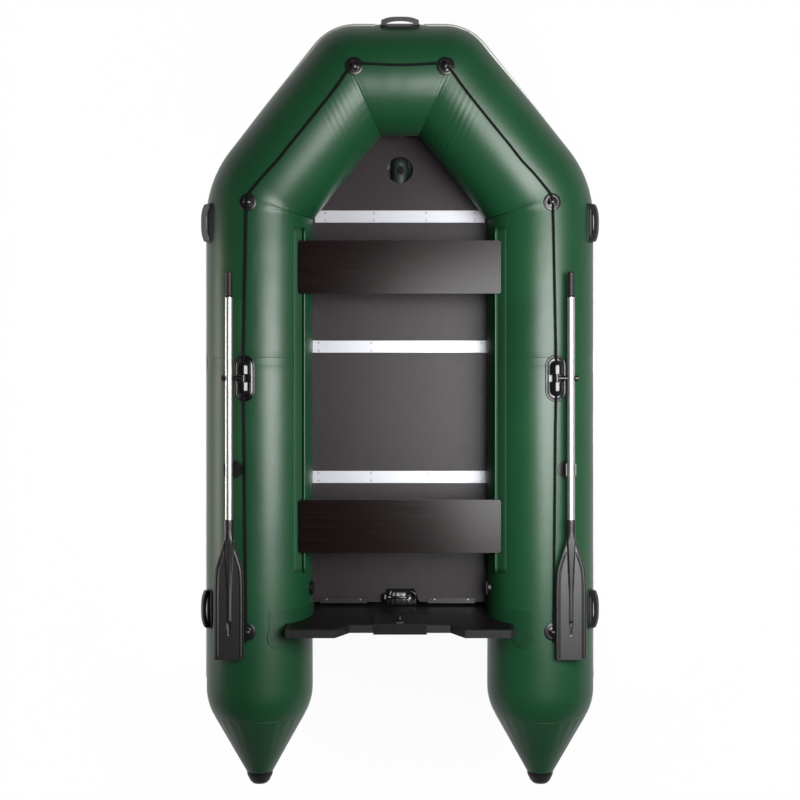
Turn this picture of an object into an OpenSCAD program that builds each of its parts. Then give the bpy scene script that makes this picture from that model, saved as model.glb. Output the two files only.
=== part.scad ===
// Inflatable dinghy with a sectional plywood floor, two benches, a transom and stowed oars.
// Millimetres. +Y is the bow, +X is starboard, +Z is up. The tubes rest on z = 0.

/* [Hull] */
// Diameter of the inflated tubes
tube_d = 430; // [424:2:436]
// Distance between the two side tube centrelines
hull_spacing = 1144; // [1140:2:1150]
// How far the bow tube rises above the side tubes
bow_rise = 100; // [90:2:110]
// Thickness of the coated fabric
fabric_t = 1.2; // [0.9:0.1:1.5]
// Diameter of the inflatable keel
keel_d = 72; // [68:1:74]

/* [Floor] */
// Thickness of the plywood floor boards
board_t = 12; // [10:1:13]
// Height of the walking surface
floor_z = 95; // [94:1:97]
// Width of the floor boards
floor_w = 774; // [760:2:776]

/* [Transom] */
// Thickness of the transom board
transom_t = 25; // [22:1:27]
// Backward lean of the transom in degrees
transom_lean = 4.7; // [4:0.1:6]
// Height of the motor cut-out above the ground
motor_z = 425; // [415:5:430]
// Height of the transom ears above the ground
ear_z = 500; // [490:5:510]

/* [Seats] */
// Depth of a bench from front to back
seat_depth = 210; // [200:5:215]
// Thickness of the bench boards
seat_t = 14; // [12:1:16]

/* [Oars] */
// Diameter of the oar shaft
shaft_d = 30; // [28:1:34]
// Width of the blade
blade_w = 120; // [110:2:124]

/* [Hidden] */

$fn = 96;
big = 3000;
gap = 0.3;
pad_t = 4;
tube_r = tube_d / 2;
inner_r = tube_r - fabric_t;
up = [0, 0, 1];
fore = [0, 1, 0];
side_x = hull_spacing / 2;

// Centreline of the starboard tube: the side tube, the bow corner and the bow tube's end
corner = [side_x, 831, tube_r];
bow_end = [175, 1294, tube_r + bow_rise];
slope = unit(bow_end - corner);
bend_r = tube_r * 1.023;
bend_angle = acos(slope * fore);
bend_reach = bend_r * tan(bend_angle / 2);
bend_start = corner - bend_reach * fore;
bend_end = corner + bend_reach * slope;
bend_centre = bend_start + bend_r * unit(slope - (slope * fore) * fore);
bend_axis = cross(unit(bend_start - bend_centre), fore);
bow_mitre = unit(slope + [-1, 0, 0]);

// Stations along the side tubes
baffle_y = 171;
cone_start_y = -1147;
cone_seam_y = -1257;
cone_tip_y = -1500;
end_y = -1548;
cone_bulge = 230;
cone_angle = 28.4;
cone_tip_r = 51;

// Floor
under_floor_z = floor_z - board_t;
joint_ys = [784, 240, -305];
floor_end_y = -828;
profile_w = 50;
flange_t = 2;
web_t = 4;
rivet_d = 5;
hatch_y = 979;
hatch_d = 109;

// Keel and bottom
keel_r = keel_d / 2;
keel_z = 8 + keel_r;
keel_ends = [-700, 1010];
skin_z = 3;
skin_t = 1.5;

// Transom: the inner face stands at this place at floor level and leans aft
transom_y = -838;
transom_foot_z = 60;
motor_half_w = 195;
ear_in_x = 245;
ear_out_x = 441;
edging_t = 3;
plate_half_w = 105;
plate_t = 9;

// Seats slide on round beads that stand off the tubes
rail_angle = 35;
rail_ys = [-670, 702];
bead_r = 5;
rail_z = tube_r + tube_r * sin(rail_angle);
bead_x = 381;
bench_ys = [543, -485];
bench_half_w = 400;
grip_len = 190;
grip_half = 12;

// Oars and oarlocks
oarlock_y = 100;
axle_x = 610;
axle_z = 456;
oar_x = 665;
oar_ends = [-995, 514];
grip_start_y = 414;
neck_y = -450;
blade_full_y = -724;
shaft_r = shaft_d / 2;
pin_r = 6;
block_size = [52, 139, 46];
clip_y = -256;

// Side handles stand outboard above the middle of the tube
handle_ys = [724, -819];
handle_angle = 28;
handle_len = 158;
handle_h = 32;

// Lifeline: round points along the starboard half, from the stern eye to the middle of the bow
rope_d = 9;
rope_half = [
  [600, -930, 438], [600, -891, 440], [601, -800, 437], [602, -700, 435], [603, -600, 435],
  [604, -500, 435], [605, -400, 435], [606, -300, 435], [607, -200, 435], [608, -100, 435],
  [610, 0, 436], [610, 60, 437], [610, 140, 437], [610, 200, 436], [608, 300, 435],
  [606, 400, 435], [604, 500, 435], [602, 600, 435], [600, 700, 437], [598, 760, 439],
  [596, 789, 440], [588, 820, 440], [560, 855, 444], [520, 900, 452], [473, 947, 464],
  [424, 1005, 476], [374, 1062, 489], [324, 1120, 502], [274, 1178, 514], [230, 1232, 527],
  [204, 1266, 536], [175, 1292, 541], [138, 1300, 540], [100, 1299, 538], [50, 1297, 536],
];
lifeline_route = concat(
  rope_half,
  [[0, 1296, 536]],
  [for (i = [len(rope_half) - 1:-1:0]) [-rope_half[i].x, rope_half[i].y, rope_half[i].z]]
);

function unit(v) = v / norm(v);
function on_slope(s) = corner + s * (bow_end - corner);
function bend_point(a) =
  bend_centre
  + bend_r * (cos(a) * unit(bend_start - bend_centre) + sin(a) * fore);
function bend_way(a) = cos(a) * fore - sin(a) * unit(bend_start - bend_centre);

// ---- placing ----

// Puts the children's origin at p with their +Z along d
module along(p, d) {
  translate(p)
    rotate([0, acos(d.z / norm(d)), atan2(d.y, d.x)])
      children();
}

// Puts the children in the frame with axes x, y, z at p
module in_frame(p, x, y, z) {
  multmatrix([
    [x.x, y.x, z.x, p.x],
    [x.y, y.y, z.y, p.y],
    [x.z, y.z, z.z, p.z],
    [0, 0, 0, 1],
  ])
    children();
}

// Puts the children on the surface of a tube: centreline point p, way t, and an angle
// from the top towards the right of t. Local +Y is along the tube and +Z is outward.
module on_tube(p, t, angle) {
  top = unit(up - (up * t) * t);
  right = cross(t, top);
  z = cos(angle) * top + sin(angle) * right;
  x = cross(t, z);
  in_frame(p + tube_r * z, x, t, z)
    children();
}

// Everything ahead of the plane through p with normal n
module ahead(p, n) {
  along(p, n)
    translate([-big / 2, -big / 2, 0])
      cube(big);
}

module port() {
  mirror([1, 0, 0])
    children();
}

module both_sides() {
  children();
  port()
    children();
}

// The part of the children between two radii of the local tube below z = 0
module hugging(from_h, to_h, length) {
  intersection() {
    children();
    translate([0, length / 2, -tube_r])
      rotate([90, 0, 0])
        difference() {
          cylinder(r = tube_r + to_h, h = length);
          translate([0, 0, -1])
            cylinder(r = tube_r + from_h, h = length + 2);
        }
  }
}

module oval(w, l, h) {
  translate([0, 0, -h / 2])
    linear_extrude(h)
      union() {
        square([w, l - w], center = true);
        translate([0, (l - w) / 2])
          circle(d = w);
        translate([0, -(l - w) / 2])
          circle(d = w);
      }
}

// ---- tubes ----

module straight(from, to, r) {
  along(from, to - from)
    cylinder(r = r, h = norm(to - from));
}

module bend(first, last, r) {
  in_frame(bend_centre, unit(bend_start - bend_centre), fore, bend_axis)
    rotate([0, 0, first])
      rotate_extrude(angle = last - first)
        translate([bend_r, 0])
          circle(r = r);
}

module side_panel() {
  difference() {
    straight([side_x, baffle_y, tube_r], bend_start, tube_r);
    straight([side_x, baffle_y - 1, tube_r], bend_start + fore, inner_r);
  }
}

// A tube with a round end, as a shell
module domed_shell(length) {
  rotate_extrude()
    difference() {
      domed_half(tube_r, length);
      domed_half(inner_r, length);
    }
}

module domed_half(r, length) {
  square([r, length]);
  intersection() {
    translate([0, length])
      circle(r = r);
    square([r, length + r + 1]);
  }
}

// The bend, and the straight run up to the mitre at the bow corner
module bow_side_panel() {
  difference() {
    bend(0, bend_angle, tube_r);
    bend(-1, bend_angle + 1, inner_r);
  }
  difference() {
    along(bend_end, slope)
      domed_shell(norm(bow_end - bend_end));
    ahead(bow_end, bow_mitre);
  }
}

module bow_solid(r) {
  straight(bow_end, [-bow_end.x, bow_end.y, bow_end.z], r);
  both_sides()
    translate(bow_end)
      sphere(r = r);
}

module bow_tube_panel() {
  color("darkgreen")
    difference() {
      bow_solid(tube_r);
      bow_solid(inner_r);
      both_sides()
        ahead(bow_end, -bow_mitre);
      valve_hole(2);
    }
}

function bulge_points(r) = [
  for (a = [0:cone_angle / 6:cone_angle])
    [r - cone_bulge * (1 - cos(a)), baffle_y - cone_start_y + cone_bulge * sin(a)]
];
seam_h = baffle_y - cone_start_y + cone_bulge * sin(cone_angle);
seam_r = tube_r - cone_bulge * (1 - cos(cone_angle));

module stern_solid(r, over) {
  rotate_extrude()
    polygon(concat([[0, -over], [r, -over]], bulge_points(r), [[seam_r - tube_r + r, seam_h + over],
      [0, seam_h + over]]));
}

module stern_panel() {
  along([side_x, baffle_y, tube_r], -fore)
    difference() {
      stern_solid(tube_r, 0);
      stern_solid(inner_r, 1);
    }
}

module cone_shell() {
  length = cone_seam_y - cone_tip_y;
  along([side_x, baffle_y - seam_h, tube_r], -fore)
    difference() {
      cylinder(r1 = seam_r, r2 = cone_tip_r, h = length);
      translate([0, 0, -0.01])
        cylinder(r1 = seam_r - fabric_t, r2 = cone_tip_r - fabric_t, h = length + 0.02);
    }
}

module cone_end_cap() {
  along([side_x, baffle_y - seam_h - (cone_seam_y - cone_tip_y), tube_r], -fore)
    rotate_extrude()
      polygon([[0, 0], [cone_tip_r + 2, 0], [cone_tip_r, 12], [40, 34], [30, 44], [0, 47]]);
}

module port_bow_side_panel() {
  color("darkgreen")
    port()
      bow_side_panel();
}

module starboard_bow_side_panel() {
  color("darkgreen")
    bow_side_panel();
}

module port_side_panel() {
  color("darkgreen")
    port()
      side_panel();
}

module starboard_side_panel() {
  color("darkgreen")
    side_panel();
}

module port_stern_panel() {
  color("darkgreen")
    difference() {
      port()
        stern_panel();
      valve_hole(0);
    }
}

module starboard_stern_panel() {
  color("darkgreen")
    difference() {
      stern_panel();
      valve_hole(1);
    }
}

module port_stern_cone() {
  color("darkgreen")
    port()
      cone_shell();
}

module starboard_stern_cone() {
  color("darkgreen")
    cone_shell();
}

module cone_end_caps() {
  color("black")
    both_sides()
      cone_end_cap();
}

// A conical bulkhead closes each chamber at the middle seam
module chamber_baffles() {
  depth = 90;
  rim_r = inner_r - gap;
  color("gray")
    both_sides()
      along([side_x, baffle_y, tube_r], fore)
        difference() {
          cylinder(r1 = rim_r, r2 = 30, h = depth);
          translate([0, 0, -fabric_t])
            cylinder(r1 = rim_r, r2 = 30, h = depth);
        }
}

// ---- bottom ----

// A shallow V: flat under the floor and rising to the bow tube
module bottom_skin() {
  side = 526;
  outline = [
    [side, -858, skin_z], [side, 790, skin_z], [395, 990, 34], [175, 1250, 90], [0, 1270, 90],
    [-175, 1250, 90], [-395, 990, 34], [-side, 790, skin_z], [-side, -858, skin_z],
    [0, -858, skin_z], [0, 1020, skin_z],
  ];
  n = len(outline);
  tris = [
    [9, 0, 1], [9, 1, 10], [10, 1, 2], [10, 2, 3], [10, 3, 4],
    [10, 4, 5], [10, 5, 6], [10, 6, 7], [9, 10, 7], [9, 7, 8],
  ];
  rim = [0, 1, 2, 3, 4, 5, 6, 7, 8, 9];
  color("darkgreen")
    polyhedron(
      points = concat(outline, [for (p = outline) p + skin_t * up]),
      faces = concat(
        tris,
        [for (t = tris) [t[2] + n, t[1] + n, t[0] + n]],
        [for (i = [0:len(rim) - 1]) let (a = rim[i], b = rim[(i + 1) % len(rim)])
          [b, a, a + n, b + n]]
      )
    );
}

module capsule(r) {
  straight([0, keel_ends[0], keel_z], [0, keel_ends[1], keel_z], r);
  for (y = keel_ends)
    translate([0, y, keel_z])
      sphere(r = r);
}

module keel_tube() {
  color("black")
    difference() {
      capsule(keel_r);
      capsule(keel_r - fabric_t);
      valve_hole(3);
    }
}

// ---- floor ----

function profile_half_w(y) = y > 700 ? 355 : floor_w / 2;

module rivet_places(z) {
  for (y = joint_ys)
    for (x = [-0.88, -0.31, 0.31, 0.88])
      for (dy = [-16, 16])
        translate([x * profile_half_w(y), y + dy, z])
          children();
}

module rivet_holes() {
  rivet_places(0)
    cylinder(d = rivet_d, h = 200);
}

module board(y0, y1) {
  translate([-floor_w / 2, y0, under_floor_z])
    cube([floor_w, y1 - y0, board_t]);
}

module bow_floor_board() {
  y0 = joint_ys[0] + web_t / 2;
  color("sienna")
    difference() {
      translate([0, 0, under_floor_z])
        linear_extrude(board_t)
          polygon([
            [-376, y0], [376, y0], [357, 810], [256, 972], [165, 1106], [140, 1116],
            [-140, 1116], [-165, 1106], [-256, 972], [-357, 810],
          ]);
      translate([0, hatch_y, 0])
        cylinder(d = hatch_d, h = 200);
      rivet_holes();
    }
}

module front_floor_board() {
  color("sienna")
    difference() {
      board(joint_ys[1] + web_t / 2, joint_ys[0] - web_t / 2);
      rivet_holes();
      both_sides()
        translate([378, joint_ys[0] - web_t / 2, 0])
          rotate([0, 0, 16])
            translate([0, -100, 0])
              cube([60, 200, 200]);
    }
}

module middle_floor_board() {
  color("sienna")
    difference() {
      board(joint_ys[2] + web_t / 2, joint_ys[1] - web_t / 2);
      rivet_holes();
    }
}

// The rear edge is notched so that water reaches the drain
module stern_floor_board() {
  color("sienna")
    difference() {
      board(floor_end_y, joint_ys[2] - web_t / 2);
      rivet_holes();
      cleat_screw_places()
        cylinder(d = 4, h = 60, center = true);
      translate([0, 0, under_floor_z - 1])
        linear_extrude(board_t + 2)
          polygon([
            [-82, floor_end_y - 1], [82, floor_end_y - 1], [58, floor_end_y + 56],
            [-58, floor_end_y + 56],
          ]);
    }
}

module joint_profile(y) {
  half = profile_half_w(y);
  difference() {
    translate([-half, y - profile_w / 2, under_floor_z - flange_t])
      cube([2 * half, profile_w, board_t + 2 * flange_t]);
    for (s = [-1, 1])
      translate([-half - 1, y + (s > 0 ? web_t / 2 : -profile_w), under_floor_z])
        cube([2 * half + 2, profile_w - web_t / 2, board_t]);
    translate([-half - 1, y - 2, floor_z + flange_t - 0.8])
      cube([2 * half + 2, 4, 2]);
    rivet_holes();
  }
}

module floor_joint_profiles() {
  color("silver")
    for (y = joint_ys)
      joint_profile(y);
}

module floor_rivets() {
  shank = board_t + 2 * flange_t;
  color("lightgray")
    rivet_places(under_floor_z - flange_t) {
      union() {
        cylinder(d = rivet_d, h = shank);
        translate([0, 0, shank])
          cylinder(d1 = 9, d2 = 6, h = 1.6);
      }
    }
}

// Two plastic cleats hold the stern board down against the transom
cleat_xs = [-235, 215];

module cleat_screw_places() {
  for (x = cleat_xs)
    for (dx = [-70, 70])
      translate([x + dx, floor_end_y + 12, floor_z])
        children();
}

module floor_cleats() {
  color("black")
    difference() {
      for (x = cleat_xs)
        translate([x - 98, floor_end_y - 4, floor_z])
          cube([196, 22, 7]);
      cleat_screw_places()
        cylinder(d = 4, h = 60, center = true);
    }
}

module cleat_screws() {
  color("silver")
    cleat_screw_places() {
      translate([0, 0, -10])
        cylinder(d = 4, h = 17);
      translate([0, 0, 7])
        cylinder(d1 = 8, d2 = 5, h = 2.4);
    }
}

// ---- transom ----

// Local frame: x across, y up along the board, z through it towards the stern
module on_transom() {
  translate([0, transom_y, transom_foot_z])
    rotate([90 + transom_lean, 0, 0])
      children();
}

function board_y(z) = (z - transom_foot_z) / cos(transom_lean);

module transom_outline(over) {
  foot = board_y(8);
  half = [
    [440, foot], [ear_out_x + 30, board_y(300)], [ear_out_x + over, board_y(400)],
    [ear_out_x + over, board_y(ear_z - 14) + 0.41 * over],
    [ear_out_x - 14 + 0.41 * over, board_y(ear_z) + over],
    [ear_in_x + 8 - 0.51 * over, board_y(ear_z) + over],
    [motor_half_w + 4 - 0.51 * over, board_y(motor_z) + over],
  ];
  polygon(concat(half, [for (i = [len(half) - 1:-1:0]) [-half[i].x, half[i].y]]));
}

module clear_of_tubes(h) {
  both_sides()
    straight([side_x, -1000, tube_r], [side_x, -700, tube_r], tube_r + h);
}

bolt_places = [[-70, 345], [70, 345], [-70, 265], [70, 265]];
drain_x = 0;
drain_z = 62;
drain_bore_r = 16;

module transom_board() {
  color("saddlebrown")
    difference() {
      on_transom()
        linear_extrude(transom_t)
          transom_outline(0);
      clear_of_tubes(pad_t + 1);
      on_transom()
        motor_bolt_places()
          cylinder(d = 8, h = 3 * transom_t, center = true);
      on_transom()
        translate([drain_x, board_y(drain_z), 0])
          cylinder(r = drain_bore_r + 4, h = 3 * transom_t, center = true);
    }
}

module motor_bolt_places() {
  for (p = bolt_places)
    translate([p.x, p.y, 0])
      children();
}

// U-section edging over the top of the board
module transom_edging() {
  color("black")
    difference() {
      on_transom()
        translate([0, 0, -edging_t])
          linear_extrude(transom_t + 2 * edging_t)
            difference() {
              transom_outline(edging_t);
              transom_outline(-14);
              translate([-500, -100])
                square([1000, 100 + board_y(398)]);
            }
      on_transom()
        linear_extrude(transom_t)
          transom_outline(0);
      on_transom()
        translate([-plate_half_w, 0, -60])
          cube([2 * plate_half_w, board_y(ear_z), 120]);
      clear_of_tubes(pad_t + 1);
    }
}

// Fabric cradles that bond the board's sides to the tubes
module transom_holders() {
  mid = [side_x, transom_y - transom_t / 2 - 8, tube_r];
  color("green")
    both_sides()
      difference() {
        along(mid + 45 * fore, -fore)
          difference() {
            cylinder(r = tube_r + pad_t, h = 90);
            translate([0, 0, -1])
              cylinder(r = tube_r + gap, h = 92);
          }
        translate([side_x - 60, -1000, -100])
          cube([400, 300, 700]);
        translate([0, -1000, -100])
          cube([900, 300, 130]);
      }
  color("green")
    both_sides()
      on_tube([side_x, -915, tube_r], fore, -25)
        stern_patch();
}

// A round reinforcing patch with a raised ring
module stern_patch() {
  hugging(0.5, 5.5, 200)
    cylinder(d = 84, h = 60, center = true);
  hugging(5.4, 7, 200)
    difference() {
      cylinder(d = 62, h = 60, center = true);
      cylinder(d = 48, h = 62, center = true);
    }
}

// A ring for the motor's safety line
module safety_eye() {
  top = board_y(motor_z);
  color("silver")
    on_transom()
      translate([0, top - 18, -plate_t]) {
        translate([-14, -12, -3])
          cube([28, 24, 3]);
        translate([0, 0, -15])
          rotate([0, 90, 0])
            rotate_extrude()
              translate([12, 0])
                circle(r = 2.5);
      }
}

module outer_motor_plate() {
  top = board_y(motor_z);
  color([0.1, 0.1, 0.1])
    on_transom()
      difference() {
        union() {
          translate([-plate_half_w, top - 190, transom_t])
            cube([2 * plate_half_w, 196, plate_t]);
          translate([-plate_half_w, top, 0])
            cube([2 * plate_half_w, 6, transom_t + 1]);
        }
        motor_bolt_places()
          translate([0, 0, -plate_t])
            motor_plate_bolt();
      }
}

module inner_motor_plate() {
  top = board_y(motor_z);
  color([0.1, 0.1, 0.1])
    on_transom()
      difference() {
        translate([-plate_half_w, top - 150, -plate_t])
          cube([2 * plate_half_w, 156, plate_t]);
        motor_bolt_places()
          translate([0, 0, -plate_t])
            motor_plate_bolt();
      }
}

// Sleeve bolts, flush in the plates on both sides
module motor_plate_bolt() {
  grip = transom_t + 2 * plate_t;
  cylinder(d = 8, h = grip);
  cylinder(d1 = 16, d2 = 8, h = 4);
  translate([0, 0, grip - 4])
    cylinder(d1 = 8, d2 = 16, h = 4);
}

module motor_plate_bolts() {
  color("silver")
    on_transom()
      motor_bolt_places()
        translate([0, 0, -plate_t])
          motor_plate_bolt();
}

// ---- drain ----

module drain_body() {
  color("black")
    on_transom()
      translate([drain_x, board_y(drain_z), 0])
        difference() {
          union() {
            translate([0, 0, -9])
              cylinder(r = 30, h = 9);
            cylinder(r = drain_bore_r + 4, h = transom_t + 6);
            translate([0, 0, transom_t])
              cylinder(r = 27, h = 5);
          }
          cylinder(r = drain_bore_r, h = 3 * transom_t, center = true);
        }
}

module drain_plug() {
  color("black")
    on_transom()
      translate([drain_x, board_y(drain_z), 0]) {
        translate([0, 0, -9.5])
          cylinder(r = drain_bore_r - gap, h = 24);
        difference() {
          translate([0, 0, -25])
            cylinder(r = 25, h = 15.6);
          for (s = [-1, 1])
            translate([s * 20 - 12, -30, -30])
              cube([24, 60, 14]);
        }
      }
}

// ---- seats ----

module bead(y0, y1, r) {
  straight([bead_x, y0, rail_z], [bead_x, y1, rail_z], r);
}

module seat_rails() {
  color("green")
    both_sides() {
      difference() {
        union() {
          bead(rail_ys[0], rail_ys[1], bead_r);
          translate([bead_x, rail_ys[0], rail_z - 1.5])
            cube([20, rail_ys[1] - rail_ys[0], 3]);
          rail_strip();
        }
        straight([side_x, rail_ys[0] - 1, tube_r], [side_x, rail_ys[1] + 1, tube_r], tube_r + 0.2);
      }
    }
}

// A strip bonded to the tube above and below the bead
module rail_strip() {
  from = [side_x, rail_ys[0], tube_r];
  to = [side_x, rail_ys[1], tube_r];
  intersection() {
    straight(from, to, tube_r + 2.2);
    translate([side_x - tube_r, rail_ys[0], rail_z - 26])
      cube([100, rail_ys[1] - rail_ys[0], 56]);
  }
}

module bench(y) {
  w = 2 * bench_half_w;
  z = rail_z + grip_half;
  corner_r = 10;
  translate([0, y, z])
    linear_extrude(seat_t)
      union() {
        square([w, seat_depth - 2 * corner_r], center = true);
        square([w - 2 * corner_r, seat_depth], center = true);
        for (sx = [-1, 1])
          for (sy = [-1, 1])
            translate([sx * (w / 2 - corner_r), sy * (seat_depth / 2 - corner_r)])
              circle(r = corner_r);
      }
}

// A channel under each end of a bench holds the bead
module bench_grip(y) {
  slot = bead_r + 0.5;
  difference() {
    translate([bead_x - 34, y - grip_len / 2, rail_z - grip_half])
      cube([34 + bead_r + 1, grip_len, 2 * grip_half]);
    bead(y - grip_len, y + grip_len, slot);
    translate([bead_x, y - grip_len, rail_z - 2.4])
      cube([40, 2 * grip_len, 4.8]);
    straight(
      [side_x, y - grip_len, tube_r], [side_x, y + grip_len, tube_r], tube_r + 2.2 + 2 * gap
    );
  }
}

module front_bench() {
  color([0.25, 0.18, 0.18])
    bench(bench_ys[0]);
}

module rear_bench() {
  color([0.25, 0.18, 0.18])
    bench(bench_ys[1]);
}

module front_bench_grips() {
  color("black")
    both_sides()
      bench_grip(bench_ys[0]);
}

module rear_bench_grips() {
  color("black")
    both_sides()
      bench_grip(bench_ys[1]);
}

// ---- oars ----

module oar_blade() {
  plate_h = 7;
  spine_r = 12;
  half = blade_w / 2;
  difference() {
    union() {
      translate([oar_x, 0, axle_z - plate_h / 2])
        linear_extrude(plate_h)
          polygon([
            [-20, neck_y], [20, neck_y], [24, neck_y - 80], [half - 6, blade_full_y + 40],
            [half, blade_full_y], [half, oar_ends[0]], [-half, oar_ends[0]],
            [-half, blade_full_y], [-half + 6, blade_full_y + 40], [-24, neck_y - 80],
          ]);
      along([oar_x, neck_y, axle_z], fore)
        translate([0, 0, -60])
          cylinder(r = shaft_r + 5, h = 60);
      along([oar_x, neck_y - 60, axle_z], -fore)
        cylinder(r1 = shaft_r + 5, r2 = spine_r - 4, h = 440);
      for (s = [-1, 1])
        translate([oar_x + s * 38 - 3, oar_ends[0] + 6, axle_z - 7])
          cube([6, 250, 14]);
    }
    along([oar_x, neck_y - 50, axle_z], fore)
      cylinder(r = shaft_r, h = 80);
    translate([oar_x - 4, oar_ends[0] + 60, axle_z - 20])
      cube([8, 150, 40]);
  }
}

module oar_shaft() {
  difference() {
    straight([oar_x, neck_y - 50, axle_z], [oar_x, grip_start_y, axle_z], shaft_r);
    straight([oar_x, neck_y - 51, axle_z], [oar_x, grip_start_y + 1, axle_z], shaft_r - 1.6);
    straight([oar_x - 50, oarlock_y, axle_z], [oar_x + 50, oarlock_y, axle_z], pin_r + 0.08);
  }
}

// A rod that plugs into the shaft up to its collar
module oar_grip() {
  collar = grip_start_y + 0.05;
  straight([oar_x, grip_start_y - 40, axle_z], [oar_x, oar_ends[1], axle_z], shaft_r - 1.7);
  straight([oar_x, collar, axle_z], [oar_x, collar + 4, axle_z], shaft_r);
}

module port_oar_blade() {
  color("black")
    port()
      oar_blade();
}

module port_oar_shaft() {
  color("silver")
    port()
      oar_shaft();
}

module port_oar_grip() {
  color("black")
    port()
      oar_grip();
}

module starboard_oar_blade() {
  color("black")
    oar_blade();
}

module starboard_oar_shaft() {
  color("silver")
    oar_shaft();
}

module starboard_oar_grip() {
  color("black")
    oar_grip();
}

// ---- oarlocks ----

slot_w = 26;
eye_r = 10;
axle_r = 5;
block_bottom = axle_z - 30;

module oarlock_base() {
  difference() {
    union() {
      on_tube([side_x, oarlock_y, tube_r], fore, asin((axle_x - side_x) / tube_r))
        hugging(0.2, pad_t, 300)
          oval(84, 182, 60);
      intersection() {
        translate([axle_x, oarlock_y, axle_z - 50])
          oval(block_size.x, block_size.y, 200);
        union() {
          translate([axle_x - 40, oarlock_y - 80, block_bottom - 20])
            cube([80, 160, 20 + axle_z - block_bottom]);
          straight([axle_x, oarlock_y - 80, axle_z], [axle_x, oarlock_y + 80, axle_z], 15);
        }
      }
    }
    straight([side_x, -100, tube_r], [side_x, 300, tube_r], tube_r + 0.2);
    translate([axle_x - 60, oarlock_y - slot_w / 2, axle_z - 12])
      cube([120, slot_w, 60]);
    straight([axle_x, oarlock_y - 60, axle_z], [axle_x, oarlock_y + 60, axle_z], axle_r);
    straight([axle_x, oarlock_y - 120, 437], [axle_x, oarlock_y + 120, 437], rope_d / 2 + 1.5);
  }
}

module oarlock_bases() {
  color([0.12, 0.12, 0.13])
    both_sides()
      oarlock_base();
}

module oarlock_axles() {
  color("silver")
    both_sides()
      straight([axle_x, oarlock_y - 60, axle_z], [axle_x, oarlock_y + 60, axle_z], axle_r);
}

// An eye on the axle, a pin through the oar and a nut outside the oar
module oarlock_stud() {
  start = [axle_x, oarlock_y, axle_z];
  stud_gap = 0.5;
  union() {
    difference() {
      union() {
        straight(start - (slot_w / 2 - stud_gap) * fore, start + (slot_w / 2 - stud_gap) * fore, eye_r);
        straight(start, start + [oar_x - axle_x + shaft_r + 14, 0, 0], pin_r);
        straight(start, [oar_x - shaft_r - 1, oarlock_y, axle_z], 9);
      }
      straight(start - 60 * fore, start + 60 * fore, axle_r + 0.08);
    }
    along([oar_x + shaft_r + 1, oarlock_y, axle_z], [1, 0, 0])
      difference() {
        cylinder(r = 11, h = 11);
        translate([0, 0, -1])
          cylinder(r = pin_r, h = 14);
      }
  }
}

module port_oarlock_stud() {
  color("dimgray")
    port()
      oarlock_stud();
}

module starboard_oarlock_stud() {
  color("dimgray")
    oarlock_stud();
}

// A cradle on a round pad carries each stowed shaft
module oar_clip() {
  half = shaft_r + 0.6;
  wall = 4;
  angle = asin((oar_x - side_x) / (tube_r + 42));
  difference() {
    union() {
      on_tube([side_x, clip_y, tube_r], fore, angle)
        hugging(0.2, pad_t, 200)
          cylinder(d = 70, h = 80, center = true);
      translate([oar_x - half - wall, clip_y - 24, axle_z - 60])
        cube([2 * (half + wall), 48, 60 + 5]);
    }
    straight([side_x, clip_y - 100, tube_r], [side_x, clip_y + 100, tube_r], tube_r + 0.2);
    straight([oar_x, clip_y - 50, axle_z], [oar_x, clip_y + 50, axle_z], half);
    translate([oar_x - half, clip_y - 50, axle_z])
      cube([2 * half, 100, 60]);
  }
}

module oar_clips() {
  color("black")
    both_sides()
      oar_clip();
}

// ---- rope ----

module rope_eye(h) {
  hugging(h, pad_t + h, 200)
    cylinder(d = 70, h = 60, center = true);
  difference() {
    translate([0, 0, 2])
      cylinder(r1 = 16, r2 = 11, h = 18);
    translate([0, 0, 11])
      rotate([90, 0, 0])
        cylinder(r = rope_d / 2 + 1.5, h = 100, center = true);
    translate([0, 60, -tube_r])
      rotate([90, 0, 0])
        cylinder(r = tube_r + pad_t + h, h = 120);
  }
}

eye_bend = 12.5;

module rope_eyes() {
  color("black")
    both_sides() {
      on_tube([side_x, -891, tube_r], fore, 7)
        rope_eye(0.2);
      on_tube(bend_point(eye_bend), bend_way(eye_bend), 7)
        rope_eye(0.8);
      on_tube(bow_end, unit([bow_mitre.x, bow_mitre.y, 0]), 0)
        rope_eye(1.3);
    }
}

// Sweeps a round section along a list of points
module sweep(points, r, sides) {
  last = len(points) - 1;
  way = [for (i = [0:last]) unit(points[min(i + 1, last)] - points[max(i - 1, 0)])];
  ring = [for (i = [0:last])
    let (x = unit(cross(way[i], up)), y = cross(x, way[i]))
      for (k = [0:sides - 1])
        points[i] + r * (cos(k * 360 / sides) * x + sin(k * 360 / sides) * y)];
  polyhedron(
    points = ring,
    faces = concat(
      [[for (k = [0:sides - 1]) k]],
      [for (i = [0:last - 1]) for (k = [0:sides - 1]) let (n = (k + 1) % sides)
        [i * sides + k, (i + 1) * sides + k, (i + 1) * sides + n, i * sides + n]],
      [[for (k = [sides - 1:-1:0]) last * sides + k]]
    )
  );
}

module lifeline() {
  color([0.08, 0.08, 0.08])
    sweep(lifeline_route, rope_d / 2, 8);
}

// ---- handles ----

module handle_places() {
  both_sides()
    for (y = handle_ys)
      on_tube([side_x, y, tube_r], fore, 90 - handle_angle)
        children();
  on_tube([0, bow_end.y, bow_end.z], [-1, 0, 0], 90 - handle_angle)
    children();
}

module handle_bases() {
  color("black")
    handle_places()
      hugging(0.2, pad_t, 300)
        oval(62, handle_len - 10, 60);
}

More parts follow.
